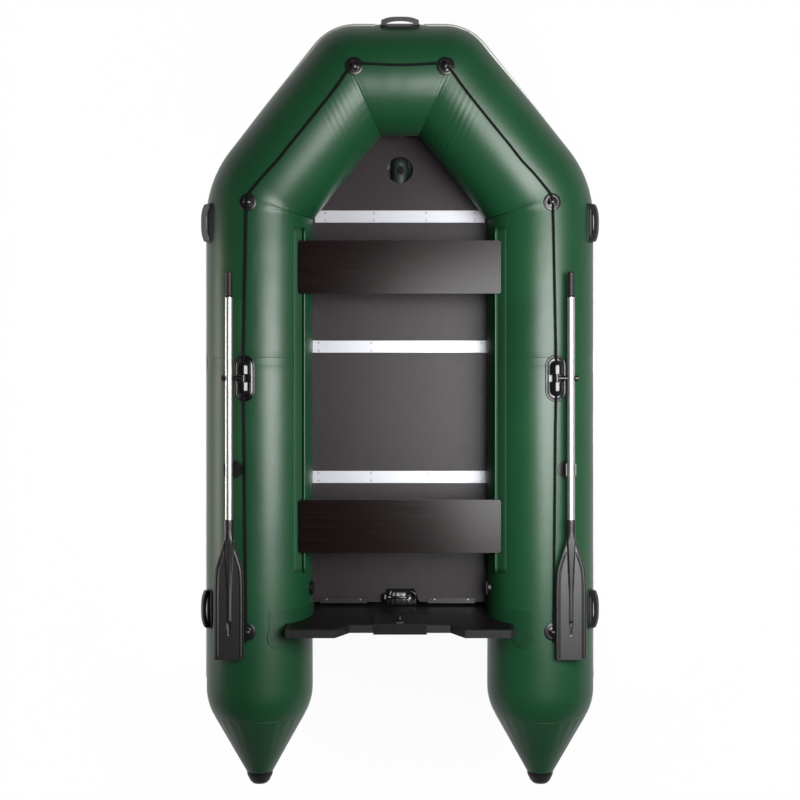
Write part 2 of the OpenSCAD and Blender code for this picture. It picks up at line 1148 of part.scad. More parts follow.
// An arched strap on two feet
module handle_grips() {
  half = handle_len / 2;
  foot = half - 22;
  color([0.1, 0.1, 0.1])
    handle_places()
      rotate([0, -90, 0])
        translate([0, 0, -12])
          linear_extrude(24)
            polygon(concat(
              [[pad_t, 5 - half]],
              [for (y = [5 - half:4:half - 5]) [handle_h * (1 - 0.5 * pow(abs(y) / half, 3)), y]],
              [[pad_t, half - 5]],
              [for (a = [0:6:180]) [pad_t + (19 - pad_t) * sin(a), foot * cos(a)]]
            ));
}

// ---- valves ----

// Port stern, starboard stern, bow and keel: centreline point, way of the tube, angle, size
valves = [
  [[-side_x, -745, tube_r], fore, 80, 1],
  [[side_x, -745, tube_r], fore, -80, 1],
  [[0, bow_end.y, bow_end.z], [1, 0, 0], 120, 1],
];
valve_body_r = 26;
valve_bore_r = 15;
stem_r = 3;
keel_valve_size = 0.7;

module valve_place(i) {
  if (i < 3)
    on_tube(valves[i][0], valves[i][1], valves[i][2])
      children();
  else
    translate([0, hatch_y, keel_z + keel_r - 0.4])
      scale(keel_valve_size)
        children();
}

module valve_hole(i) {
  valve_place(i)
    cylinder(r = valve_body_r, h = 60, center = true);
}

// A sleeve through the wall, with a guide for the stem
module valve_body() {
  difference() {
    union() {
      translate([0, 0, -40])
        cylinder(r = valve_body_r, h = 42);
      translate([0, 0, 1])
        cylinder(r = 31, h = 3);
    }
    translate([0, 0, -22])
      cylinder(r = valve_bore_r, h = 40);
    translate([0, 0, -60])
      cylinder(r = valve_bore_r, h = 32);
    cylinder(r = stem_r + 0.08, h = 120, center = true);
    for (a = [0:120:240])
      rotate([0, 0, a])
        translate([9, 0, 0])
          cylinder(r = 3.5, h = 120, center = true);
  }
}

module valve_poppet() {
  color("gray") {
    translate([0, 0, -46])
      cylinder(r = stem_r, h = 45);
    translate([0, 0, -44.4])
      cylinder(r = valve_bore_r + 4, h = 4);
    translate([0, 0, -6])
      cylinder(r = 8, h = 5);
  }
}

module valve_cap() {
  color("black") {
    difference() {
      translate([0, 0, 4 + gap])
        cylinder(r = 25, h = 8);
      for (s = [-1, 1])
        translate([s * 19 - 13, -30, 8])
          cube([26, 60, 10]);
    }
    difference() {
      translate([0, 0, 0.5])
        cylinder(r = valve_bore_r - 0.5, h = 5);
      cylinder(r = 11, h = 4);
    }
  }
}

module valve_bodies() {
  color([0.15, 0.15, 0.15])
    for (i = [0:3])
      valve_place(i)
        valve_body();
}

module port_valve_poppet() {
  valve_place(0)
    valve_poppet();
}

module starboard_valve_poppet() {
  valve_place(1)
    valve_poppet();
}

module bow_valve_poppet() {
  valve_place(2)
    valve_poppet();
}

module keel_valve_poppet() {
  valve_place(3)
    valve_poppet();
}

module port_valve_cap() {
  valve_place(0)
    valve_cap();
}

module starboard_valve_cap() {
  valve_place(1)
    valve_cap();
}

module bow_valve_cap() {
  valve_place(2)
    valve_cap();
}

module keel_valve_cap() {
  valve_place(3)
    valve_cap();
}

bow_tube_panel();
port_bow_side_panel();
starboard_bow_side_panel();
port_side_panel();
starboard_side_panel();
port_stern_panel();
starboard_stern_panel();
port_stern_cone();
starboard_stern_cone();
cone_end_caps();
chamber_baffles();
bottom_skin();
keel_tube();
bow_floor_board();
front_floor_board();
middle_floor_board();
stern_floor_board();
floor_joint_profiles();
floor_rivets();
floor_cleats();
cleat_screws();
transom_board();
transom_edging();
transom_holders();
outer_motor_plate();
inner_motor_plate();
motor_plate_bolts();
safety_eye();
drain_body();
drain_plug();
front_bench();
front_bench_grips();
rear_bench();
rear_bench_grips();
seat_rails();
port_oar_blade();
port_oar_shaft();
port_oar_grip();
starboard_oar_blade();
starboard_oar_shaft();
starboard_oar_grip();
oarlock_bases();
oarlock_axles();
port_oarlock_stud();
starboard_oarlock_stud();
oar_clips();
rope_eyes();
lifeline();
handle_bases();
handle_grips();
valve_bodies();
port_valve_poppet();
starboard_valve_poppet();
bow_valve_poppet();
keel_valve_poppet();
port_valve_cap();
starboard_valve_cap();
bow_valve_cap();
keel_valve_cap();
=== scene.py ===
"""Looks for the inflatable dinghy: skins, fittings, materials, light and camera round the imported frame."""
import math

import bpy
from mathutils import Matrix, Vector, noise


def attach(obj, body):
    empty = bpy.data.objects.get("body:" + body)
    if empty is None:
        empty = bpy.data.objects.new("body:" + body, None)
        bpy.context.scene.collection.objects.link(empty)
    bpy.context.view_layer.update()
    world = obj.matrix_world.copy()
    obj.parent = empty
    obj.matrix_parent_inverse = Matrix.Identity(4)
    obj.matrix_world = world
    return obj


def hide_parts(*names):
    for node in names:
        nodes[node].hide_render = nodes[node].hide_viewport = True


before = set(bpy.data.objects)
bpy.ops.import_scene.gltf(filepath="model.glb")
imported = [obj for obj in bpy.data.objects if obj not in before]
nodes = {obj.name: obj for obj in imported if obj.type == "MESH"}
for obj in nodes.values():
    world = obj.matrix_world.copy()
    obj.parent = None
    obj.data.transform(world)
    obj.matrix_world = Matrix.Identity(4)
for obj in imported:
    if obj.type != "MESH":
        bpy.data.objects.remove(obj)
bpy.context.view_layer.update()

scene = bpy.context.scene
sin, cos, pi = math.sin, math.cos, math.pi

# ---- camera ----

CAMERA_HEIGHT = 5.2

cam_data = bpy.data.cameras.new("camera")
cam_data.lens = 54.9
cam_data.sensor_width = 36.0
cam_data.shift_y = 0.005
cam = bpy.data.objects.new("camera", cam_data)
scene.collection.objects.link(cam)
cam.location = (0.0, 0.0, CAMERA_HEIGHT)
scene.camera = cam
scene.view_settings.view_transform = "Standard"

# ---- geometry of the hull, in metres, as in the CAD ----

R = 0.215
TUBE_X = 0.572
UP = Vector((0, 0, 1))
FORE = Vector((0, 1, 0))
CORNER = Vector((TUBE_X, 0.831, R))
BOW_END = Vector((0.175, 1.294, 0.315))
SLOPE = (BOW_END - CORNER).normalized()
BEND_R = R * 1.023
THETA = math.acos(SLOPE.dot(FORE))
REACH = BEND_R * math.tan(THETA / 2)
BEND_START = CORNER - REACH * FORE
BEND_END = CORNER + REACH * SLOPE
BEND_C = BEND_START + BEND_R * (SLOPE - SLOPE.dot(FORE) * FORE).normalized()
BEND_X = (BEND_START - BEND_C).normalized()
MITRE = (SLOPE + Vector((-1, 0, 0))).normalized()
BAFFLE_Y = 0.171


def smooth(x):
    x = min(max(x, 0.0), 1.0)
    return x * x * (3 - 2 * x)


def tube_axes(t):
    """Top and right-hand directions of a tube running along t."""
    top = (UP - UP.dot(t) * t).normalized()
    return top, t.cross(top)


def tube_frame(p, t, degrees):
    """Frame on the tube's surface: Y along the tube, Z outward, at an angle from the top to the right of t."""
    t = t.normalized()
    top, right = tube_axes(t)
    a = math.radians(degrees)
    z = cos(a) * top + sin(a) * right
    x = t.cross(z)
    m = Matrix((x, t, z)).transposed().to_4x4()
    m.translation = p + R * z
    return m


# ---- materials ----


def srgb(r, g, b):
    return tuple(((c / 255 + 0.055) / 1.055) ** 2.4 if c > 10 else c / 255 / 12.92 for c in (r, g, b)) + (1.0,)


class Mat:
    """A node material with short ways to add texture, colour and bump."""

    def __init__(self, name, rough=0.5, metal=0.0, spec=0.5, coat=0.0, coat_rough=0.1):
        self.m = bpy.data.materials.new(name)
        self.m.use_nodes = True
        self.t = self.m.node_tree
        self.b = self.t.nodes["Principled BSDF"]
        self.b.inputs["Roughness"].default_value = rough
        self.b.inputs["Metallic"].default_value = metal
        self.b.inputs["Specular IOR Level"].default_value = spec
        self.b.inputs["Coat Weight"].default_value = coat
        self.b.inputs["Coat Roughness"].default_value = coat_rough
        self.height = None

    def node(self, kind, **inputs):
        n = self.t.nodes.new("ShaderNode" + kind)
        for k, v in inputs.items():
            k = k.replace("_", " ")
            if isinstance(v, bpy.types.NodeSocket):
                self.t.links.new(v, n.inputs[k])
            else:
                n.inputs[k].default_value = v
        return n

    def coords(self, kind="Object", scale=(1, 1, 1), rotation=(0, 0, 0)):
        c = self.t.nodes.new("ShaderNodeTexCoord")
        m = self.t.nodes.new("ShaderNodeMapping")
        m.inputs["Scale"].default_value = scale
        m.inputs["Rotation"].default_value = rotation
        self.t.links.new(c.outputs[kind], m.inputs["Vector"])
        return m.outputs["Vector"]

    def noise(self, scale, detail=3.0, rough=0.5, coords=None, distortion=0.0):
        n = self.node("TexNoise", Scale=scale, Detail=detail, Roughness=rough, Distortion=distortion)
        self.t.links.new(coords or self.coords(), n.inputs["Vector"])
        return n.outputs["Fac"]

    def wave(self, period, direction="X", kind="Object", distortion=0.0, coords=None):
        w = self.node("TexWave", Scale=2 * pi / (20 * period), Distortion=distortion)
        w.bands_direction = direction
        w.wave_profile = "SIN"
        self.t.links.new(coords or self.coords(kind), w.inputs["Vector"])
        return w.outputs["Fac"]

    def ramp(self, fac, stops):
        r = self.node("ValToRGB", Fac=fac)
        e = r.color_ramp.elements
        while len(e) < len(stops):
            e.new(0.5)
        for i, (p, c) in enumerate(stops):
            e[i].position = p
            e[i].color = c if len(c) == 4 else tuple(c) + (1.0,)
        return r.outputs["Color"]

    def maths(self, op, a, b):
        n = self.t.nodes.new("ShaderNodeMath")
        n.operation = op
        for i, v in enumerate((a, b)):
            if isinstance(v, bpy.types.NodeSocket):
                self.t.links.new(v, n.inputs[i])
            else:
                n.inputs[i].default_value = v
        return n.outputs[0]

    def between(self, fac, low, high):
        n = self.node("MapRange", Value=fac)
        n.inputs["To Min"].default_value = low
        n.inputs["To Max"].default_value = high
        return n.outputs["Result"]

    def colour(self, socket):
        self.t.links.new(socket, self.b.inputs["Base Color"])
        return self

    def roughness(self, fac, low, high):
        self.t.links.new(self.between(fac, low, high), self.b.inputs["Roughness"])
        return self

    def bump(self, fac, depth, strength=1.0):
        """Adds a bump of that depth in metres on top of the earlier ones."""
        n = self.node("Bump", Height=fac, Distance=depth, Strength=strength)
        if self.height:
            self.t.links.new(self.height, n.inputs["Normal"])
        self.height = n.outputs["Normal"]
        self.t.links.new(self.height, self.b.inputs["Normal"])
        return self


def make_fabric(name, dark, light, rough=(0.35, 0.43)):
    m = Mat(name, spec=0.25)
    broad = m.noise(2.2, 3.0)
    m.colour(m.ramp(broad, [(0.3, dark), (0.7, light)]))
    m.roughness(m.noise(5.0, 4.0), *rough)
    uv = m.coords("UV")
    weave = m.maths("MULTIPLY", m.wave(0.0018, "X", coords=uv), m.wave(0.0018, "Y", coords=uv))
    m.bump(m.noise(9.0, 2.0), 0.0022, 0.35)
    m.bump(m.noise(60.0, 4.0), 0.0003, 0.35)
    m.bump(weave, 0.00004, 0.5)
    return m.m


tube_mat = make_fabric("tube_fabric", srgb(8, 41, 22), srgb(11, 47, 26))
dark_fabric_mat = make_fabric("dark_green_fabric", srgb(7, 37, 20), srgb(10, 42, 23))
bottom_mat = make_fabric("bottom_fabric", srgb(16, 26, 20), srgb(22, 32, 25), (0.4, 0.5))
rail_mat = make_fabric("rail_fabric", srgb(9, 42, 24), srgb(12, 48, 28), (0.55, 0.62))
strake_mat = make_fabric("strake_fabric", srgb(150, 152, 146), srgb(165, 166, 160), (0.45, 0.55))


def make_plastic(name, dark, light, rough, grain=0.00006, spec=0.5, coat=0.0):
    m = Mat(name, spec=spec, coat=coat)
    m.colour(m.ramp(m.noise(30.0, 3.0), [(0.35, dark), (0.65, light)]))
    m.roughness(m.noise(90.0, 3.0), rough - 0.05, rough + 0.05)
    m.bump(m.noise(900.0, 2.0), grain, 0.6)
    return m.m


black_mat = make_plastic("black_plastic", srgb(4, 4, 5), srgb(8, 8, 9), 0.36, spec=0.3)
blade_mat = make_plastic("blade_plastic", srgb(11, 10, 10), srgb(15, 13, 13), 0.42, spec=0.4)
gloss_mat = make_plastic("gloss_plastic", srgb(4, 4, 6), srgb(8, 8, 10), 0.22, 0.00001, spec=0.35)
grey_mat = make_plastic("grey_plastic", srgb(70, 70, 72), srgb(84, 84, 86), 0.4)
rubber_mat = make_plastic("rubber", srgb(8, 8, 8), srgb(14, 14, 14), 0.5, 0.0001, 0.25)


def make_floor():
    m = Mat("film_faced_plywood", spec=0.15)
    mottle = m.noise(140.0, 3.0, 0.6)
    broad = m.noise(1.6, 4.0)
    both = m.maths("ADD", m.maths("MULTIPLY", mottle, 0.7), m.maths("MULTIPLY", broad, 0.3))
    m.colour(m.ramp(both, [(0.32, srgb(13, 8, 10)), (0.52, srgb(18, 12, 14)), (0.72, srgb(30, 22, 25))]))
    m.roughness(m.noise(60.0, 3.0), 0.30, 0.42)
    a = m.wave(0.005, "X", coords=m.coords(rotation=(0, 0, pi / 4)))
    b = m.wave(0.005, "X", coords=m.coords(rotation=(0, 0, -pi / 4)))
    m.bump(m.maths("MAXIMUM", a, b), 0.0004, 0.7)
    m.bump(m.noise(260.0, 2.0), 0.0003, 0.5)
    return m.m


floor_mat = make_floor()


def make_wood(name, dark, mid, light, rough, coat):
    m = Mat(name, spec=0.12, coat=coat, coat_rough=0.25)
    streak = m.noise(5.0, 6.0, 0.6, m.coords(scale=(0.8, 34, 34)), 0.2)
    pores = m.noise(60.0, 2.0, 0.5, m.coords(scale=(0.35, 7, 7)))
    both = m.maths("ADD", m.maths("MULTIPLY", streak, 0.7), m.maths("MULTIPLY", pores, 0.3))
    m.colour(m.ramp(both, [(0.3, dark), (0.5, mid), (0.7, light)]))
    m.roughness(streak, rough - 0.06, rough + 0.08)
    m.bump(pores, 0.00012, 0.4)
    m.bump(streak, 0.00008, 0.3)
    return m.m


bench_mat = make_wood("bench_plywood", srgb(6, 2, 2), srgb(9, 3, 3), srgb(13, 5, 5), 0.22, 0.0)
transom_mat = make_wood("transom_plywood", srgb(8, 6, 6), srgb(11, 9, 9), srgb(16, 12, 12), 0.36, 0.0)


def make_metal(name, tone, rough, direction):
    m = Mat(name, metal=1.0)
    scale = {"X": (3, 160, 160), "Y": (160, 3, 160), "all": (60, 60, 60)}[direction]
    brush = m.noise(8.0, 3.0, 0.6, m.coords(scale=scale))
    low, high = [srgb(*(int(c * k) for c in tone)) for k in (0.93, 1.0)]
    m.colour(m.ramp(brush, [(0.3, low), (0.7, high)]))
    m.roughness(brush, rough - 0.04, rough + 0.04)
    m.bump(brush, 0.00002, 0.3)
    return m.m


profile_mat = make_metal("brushed_aluminium", (132, 133, 137), 0.5, "X")
shaft_mat = make_metal("drawn_aluminium", (176, 176, 176), 0.4, "Y")
steel_mat = make_metal("steel", (150, 150, 154), 0.35, "all")
dark_steel_mat = make_metal("blacked_steel", (70, 70, 72), 0.5, "all")


def make_rope():
    m = Mat("laid_rope", rough=0.7, spec=0.08)
    uv = m.coords("UV")
    a = m.wave(0.25, "DIAGONAL", coords=uv)
    m.colour(m.ramp(a, [(0.2, srgb(1, 1, 2)), (0.8, srgb(7, 7, 8))]))
    m.bump(m.noise(1500.0, 2.0), 0.0002, 0.6)
    return m.m


rope_mat = make_rope()

# ---- meshes ----


def add_mesh(name, verts, faces, mat, uvs=None, slot=None, body="hull", smooth_shading=True):
    mesh = bpy.data.meshes.new(name)
    mesh.from_pydata([tuple(v) for v in verts], [], faces)
    mesh.validate()
    if uvs:
        layer = mesh.uv_layers.new(name="UVMap")
        for loop in mesh.loops:
            layer.data[loop.index].uv = uvs[loop.vertex_index]
    mesh.materials.append(mat)
    obj = bpy.data.objects.new(name, mesh)
    scene.collection.objects.link(obj)
    if smooth_shading:
        mesh.polygons.foreach_set("use_smooth", [True] * len(mesh.polygons))
    mesh.update()
    if body:
        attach(obj, body)
    return obj


def grid_faces(rows, cols, wrap=True, flip=False):
    faces = []
    for i in range(rows - 1):
        for k in range(cols if wrap else cols - 1):
            n = (k + 1) % cols
            f = (i * cols + k, i * cols + n, (i + 1) * cols + n, (i + 1) * cols + k)
            faces.append(f[::-1] if flip else f)
    return faces


def loft(rings, caps=True, flip=False):
    """Vertices and faces through closed rings of the same count."""
    cols = len(rings[0])
    verts = [v for ring in rings for v in ring]
    faces = grid_faces(len(rings), cols, True, flip)
    if caps:
        last = (len(rings) - 1) * cols
        a = tuple(range(cols))
        b = tuple(last + k for k in reversed(range(cols)))
        faces += [a, b] if flip else [a[::-1], b[::-1]]
    return verts, faces


def lathe(profile, sides=64):
    """Rings of a profile of (radius, height) round Z."""
    return [[Vector((r * cos(2 * pi * k / sides), r * sin(2 * pi * k / sides), h)) for k in range(sides)]
            for r, h in profile]


def join(parts):
    verts, faces = [], []
    for v, f in parts:
        base = len(verts)
        verts += v
        faces += [tuple(i + base for i in face) for face in f]
    return verts, faces


def placed(part, m):
    return [m @ Vector(v) for v in part[0]], part[1]


def mirrored(part):
    return [Vector((-v[0], v[1], v[2])) for v in part[0]], [f[::-1] for f in part[1]]


def modifier(obj, kind, **values):
    m = obj.modifiers.new(kind.lower(), kind)
    for k, v in values.items():
        setattr(m, k, v)
    return m


# ---- tube skins ----

SIDES = 144


def tape(d, half=0.011):
    """Height of a glued seam tape at distance d from the seam."""
    return 0.0005 * smooth((half + 0.0012 - abs(d)) / 0.0024)


def waist(d, depth, width):
    return -depth * math.exp(-((d / width) ** 2))


def pleats(d, phi, seed, reach=0.05, depth=0.0016):
    """Small folds that run away from a seam on the inner side of a corner."""
    inner = max(0.0, -sin(phi) - 0.15) ** 1.2
    n = noise.noise(Vector((phi * 6.0, seed, 0.0)))
    return depth * inner * math.exp(-abs(d) / reach) * sin(phi * 46 + 5 * n)


def stations(length, dense, coarse=0.016, fine=0.0022, near=0.03):
    """Distances from 0 to length, closer together near the seams."""
    out, s = [], 0.0
    while s < length - 1e-6:
        out.append(s)
        gap = min([abs(s - d) for d in dense] + [9])
        ahead = min([d - s for d in dense if d > s + 1e-9] + [9])
        step = fine if gap < near * 0.6 else fine + (coarse - fine) * smooth((gap - near * 0.6) / 0.08)
        s += min(step, max(fine, ahead - near * 0.6) if ahead > near * 0.6 else step)
    out.append(length)
    return out


def phi_of(k):
    return 2 * pi * k / SIDES


SIDE_LEN = BEND_START.y - BAFFLE_Y
BEND_LEN = BEND_R * THETA
DIAG_LEN = (BOW_END - BEND_END).length


def side_path(s):
    if s <= SIDE_LEN:
        return Vector((0.572, BAFFLE_Y + s, R)), FORE.copy()
    s -= SIDE_LEN
    if s <= BEND_LEN:
        a = s / BEND_R
        return BEND_C + BEND_R * (cos(a) * BEND_X + sin(a) * FORE), (cos(a) * FORE - sin(a) * BEND_X).normalized()
    return BEND_END + (s - BEND_LEN) * SLOPE, SLOPE.copy()


def mitre_end(rho, d, m):
    """How far past the corner a line of the skin reaches before the mitre plane."""
    k = rho.dot(m) / d.dot(m)
    return -R * k if k > 0 else R * math.atan(-k)


def corner_point(corner, rho, d, q, lift):
    """A point q along a line of the skin, with the corner's section at q = 0."""
    if q <= 0:
        return corner + d * q + (R + lift) * rho
    a = q / R
    return corner + (R + lift) * (cos(a) * rho + sin(a) * d)


SEAM_DEPTH, SEAM_REACH = 0.0035, 0.028  # how far a welded seam draws the fabric in
MITRE_DEPTH, MITRE_REACH = 0.0012, 0.012


def mitre_waist(d, phi):
    """The draw of a mitre seam at distance d, deepest on the cockpit side."""
    return waist(d, MITRE_DEPTH * max(0.0, 0.4 - sin(phi)), MITRE_REACH)


def bow_half_skin():
    """Side, bend and diagonal of the starboard bow, from the bulkhead seam to the mitre."""
    mid_bend = SIDE_LEN + BEND_LEN / 2
    total = SIDE_LEN + BEND_LEN + DIAG_LEN
    zone = 0.22
    rings, uvs = [], []

    def lift(s, phi, to_mitre):
        h = waist(s, SEAM_DEPTH, SEAM_REACH)
        inner = smooth((-sin(phi) - 0.42) / 0.5)
        pinch = s - mid_bend + 0.022
        h += waist(pinch, 0.0050 * inner, 0.012)
        h += 0.0022 * math.exp(-(((pinch + 0.006) / 0.022) ** 2) - (((phi - 2 * pi + 0.38) / 0.22) ** 2))
        h += pleats(pinch, phi, 3.0) + tape(to_mitre) + pleats(to_mitre, phi, 7.0)
        h += mitre_waist(to_mitre, phi)
        ripple = sin(2 * pi * to_mitre / 0.026) * math.exp(-(((to_mitre - 0.14) / 0.07) ** 2))
        h += 0.0006 * smooth(0.5 - sin(phi)) * ripple
        return h + 0.0007 * noise.noise(Vector((s * 9, phi * 1.3, 2.0))) * smooth(s / 0.04)

    for s in stations(total - zone, [0.0, mid_bend - 0.022]):
        p, t = side_path(s)
        top, right = tube_axes(t)
        ring = []
        for k in range(SIDES):
            phi = phi_of(k)
            rho = cos(phi) * top + sin(phi) * right
            to_mitre = total - s + (mitre_end(rho, SLOPE, MITRE) if s > total - 0.5 else 9.0)
            ring.append(p + (R + lift(s, phi, to_mitre)) * rho)
            uvs.append((phi * R, s))
        rings.append(ring)
    top, right = tube_axes(SLOPE)
    steps = [1 - (1 - i / 44) ** 1.8 for i in range(1, 45)]
    for w in steps:
        ring = []
        for k in range(SIDES):
            phi = phi_of(k)
            rho = cos(phi) * top + sin(phi) * right
            end = mitre_end(rho, SLOPE, MITRE)
            q = -zone + w * (end + zone)
            ring.append(corner_point(BOW_END, rho, SLOPE, q, lift(total + q, phi, end - q)))
            uvs.append((phi * R, total + q))
        rings.append(ring)
    return loft(rings, caps=False), uvs


def bow_skin():
    """The bow tube between its two mitres."""
    d = Vector((1, 0, 0))
    top, right = UP, Vector((0, 1, 0))
    m = -MITRE
    half = BOW_END.x
    rings, uvs = [], []
    n = 60
    for i in range(2 * n + 1):
        w = (i - n) / n
        w = math.copysign(1 - (1 - abs(w)) ** 1.5, w)
        ring = []
        for k in range(SIDES):
            phi = -phi_of(k)
            rho = cos(phi) * top + sin(phi) * right
            end = half + mitre_end(rho, d, m)
            q = abs(w) * end
            inner = -sin(phi)
            h = tape(end - q) + pleats(end - q, phi, 7.0 if w > 0 else 9.0)
            h += mitre_waist(end - q, phi)
            h += 0.0006 * noise.noise(Vector((w * 3, phi * 1.5, 5.0)))
            p = corner_point(BOW_END, rho, d, q - half, h)
            ring.append(Vector((math.copysign(p.x, w) if w else 0.0, p.y, p.z)))
            uvs.append((phi * R, w * end))
        rings.append(ring)
    return loft(rings, caps=False), uvs


CONE_START, CONE_SEAM, CONE_TIP = 1.318, 1.4274, 1.671


def stern_radius(s):
    """Radius of the stern tube at distance s aft of the bulkhead seam."""
    bulge, turn = 0.230, math.radians(28.4)
    if s <= CONE_START:
        return R
    if s <= CONE_SEAM:
        return R - bulge * (1 - cos(math.asin(min(1.0, (s - CONE_START) / bulge))))
    seam_r = R - bulge * (1 - cos(turn))
    return seam_r + (0.051 - seam_r) * (s - CONE_SEAM) / (CONE_TIP - CONE_SEAM)


def stern_skin(s0, s1, dense):
    """The starboard stern tube between two distances aft of the bulkhead seam."""
    rings, uvs = [], []
    for s in [s0 + x for x in stations(s1 - s0, [d - s0 for d in dense])]:
        ring = []
        for k in range(SIDES):
            phi = -phi_of(k)
            h = waist(s, SEAM_DEPTH, SEAM_REACH) + 0.0006 * smooth((0.014 - s) / 0.003) + tape(s - CONE_SEAM)
            h += waist(s - CONE_SEAM, MITRE_DEPTH, MITRE_REACH)
            wave = 0.0007 * noise.noise(Vector((s * 5, phi * 1.3, 8.0)))
            h += wave * smooth((CONE_TIP - s) / 0.1) * smooth(s / 0.04)
            r = stern_radius(s) + h
            if s > CONE_SEAM:
                r += 0.0011 * sin(phi * 24) * math.exp(-(s - CONE_SEAM) / 0.06) * smooth((s - CONE_SEAM) / 0.01)
            ring.append(Vector((TUBE_X + r * sin(phi), BAFFLE_Y - s, R + r * cos(phi))))
            uvs.append((phi * R, s))
        rings.append(ring)
    return loft(rings, caps=False), uvs


def add_skin(name, part, uvs, *cad):
    obj = add_mesh(name, part[0], part[1], tube_mat, uvs, "tube_fabric")
    modifier(obj, "SOLIDIFY", thickness=0.0012, offset=-1.0)
    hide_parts(*cad)
    return obj


part, uvs = bow_half_skin()
add_skin("starboard_bow_skin", part, uvs, "starboard_side_panel", "starboard_bow_side_panel")
add_skin("port_bow_skin", mirrored(part), uvs, "port_side_panel", "port_bow_side_panel")
part, uvs = bow_skin()
add_skin("bow_skin", part, uvs, "bow_tube_panel")
part, uvs = stern_skin(-0.012, CONE_SEAM, [0.0, CONE_SEAM])
add_skin("starboard_stern_skin", part, uvs, "starboard_stern_panel")
add_skin("port_stern_skin", mirrored(part), uvs, "port_stern_panel")
part, uvs = stern_skin(CONE_SEAM, CONE_TIP, [CONE_SEAM])
add_skin("starboard_cone_skin", part, uvs, "starboard_stern_cone")
add_skin("port_cone_skin", mirrored(part), uvs, "port_stern_cone")


def baffle():
    """A bulkhead disc, domed towards the bow."""
    prof = [(0.0005, 0.012)] + [(0.2075 * i / 24, 0.012 * (1 - (i / 24) ** 2)) for i in range(1, 25)]
    prof += [(0.2085, -0.0006), (0.2075, -0.0012)]
    prof += [(0.2075 * i / 24, 0.012 * (1 - (i / 24) ** 2) - 0.0012) for i in range(23, 0, -1)] + [(0.0005, 0.0108)]
    disc = loft(lathe(prof, 96), True, True)
    m = Matrix.Translation((0.572, BAFFLE_Y, R)) @ Matrix.Rotation(-pi / 2, 4, "X")
    return placed(disc, m)


part = baffle()
obj = add_mesh("chamber_bulkheads", *join([part, mirrored(part)]), dark_fabric_mat, None, "tube_fabric")
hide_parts("chamber_baffles")


def seat_rail():
    """A strip glued along the inside of the tube, with a bead that holds the bench's end."""
    y0, y1 = -0.670, 0.702
    low, width = -63.3, 18.4  # degrees round the tube
    bead_r = 0.0048

    def spot(a, r):
        return Vector((TUBE_X + r * sin(a), 0.0, R + r * cos(a)))

    strip = []
    n = 28
    for i in range(n + 1):
        a = math.radians(low + width * i / n)
        strip.append(spot(a, R + 0.0003 + 0.0009 * smooth(min(i, n - i) / 4)))
    strip += [spot(math.radians(low + width * i / n), R - 0.0002) for i in range(n, -1, -1)]
    centre = Vector((0.381, 0.0, 0.338))
    bead = [centre + bead_r * Vector((cos(2 * pi * k / 24), 0, sin(2 * pi * k / 24))) for k in range(24)]
    out = (centre - Vector((TUBE_X, 0, R))).normalized()
    side = Vector((out.z, 0, -out.x)) * 0.0016
    neck = [centre + side, centre - side, centre - side - out * 0.011, centre + side - out * 0.011]
    parts = []
    for shape in (strip, neck, bead):
        rings = []
        for j in range(71):
            y = y0 + (y1 - y0) * j / 70
            wave = Vector((0.0001, 0, 0.0001)) * noise.noise(Vector((y * 9, 1, 4)))
            rings.append([p + wave + Vector((0, y, 0)) for p in shape])
        parts.append(loft(rings, True))
    return join(parts[:2]), parts[2]


strip, bead = seat_rail()
obj = add_mesh("seat_rail_strips", *join([strip, mirrored(strip)]), rail_mat, None, "tube_fabric")
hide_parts("seat_rails")
add_mesh("seat_rail_beads", *join([bead, mirrored(bead)]), tube_mat, None, "tube_fabric")


def strake():
    """A fender strip round the outside: high on the bow, and falling to the middle of the tube on the sides."""
    rows = []
    half = 12

    def row(at, way, centre, scale=1.0):
        top, right = tube_axes(way)
        out = []
        for j in range(half + 1):
            a = math.radians(centre + (j / half - 0.5) * 20 * scale)
            edge = min(j, half - j)
            rise = 0.0003 + 0.0026 * smooth(edge / 1.5)
            out.append(at + (R + rise) * (cos(a) * top + sin(a) * right))
        return out

    # along the bow tube from the handle to the corner, round the corner, then aft along the side
    for i in range(8):
        x = 0.098 + (BOW_END.x - 0.098) * i / 8
        rows.append(row(Vector((x, BOW_END.y, BOW_END.z)), Vector((-1, 0, 0)), 70))
    a0, a1 = Vector((-1, 0, 0)), SLOPE
    for i in range(11):
        w = i / 10
        rows.append(row(BOW_END, (a0 * (1 - w) + a1 * w).normalized(), 70 + w))
    s = SIDE_LEN + BEND_LEN + DIAG_LEN
    total = s
    while s > 0.0:
        s -= 0.02
        p, t = side_path(max(s, 0.0))
        rows.append(row(p, t, 71 + 21 * smooth((total - s) / 0.55)))
    y = BAFFLE_Y
    while y > -1.10:
        y -= 0.04
        rows.append(row(Vector((0.572, y, R)), FORE, 92))
    verts = [v for r in rows for v in r]
    return verts, grid_faces(len(rows), half + 1, False, True)


for side, part in (("starboard", strake()), ("port", mirrored(strake()))):
    obj = add_mesh(side + "_strake", part[0], part[1], strake_mat, None, "tube_fabric")
    modifier(obj, "SOLIDIFY", thickness=0.0015, offset=-1.0)

# ---- lifeline ----

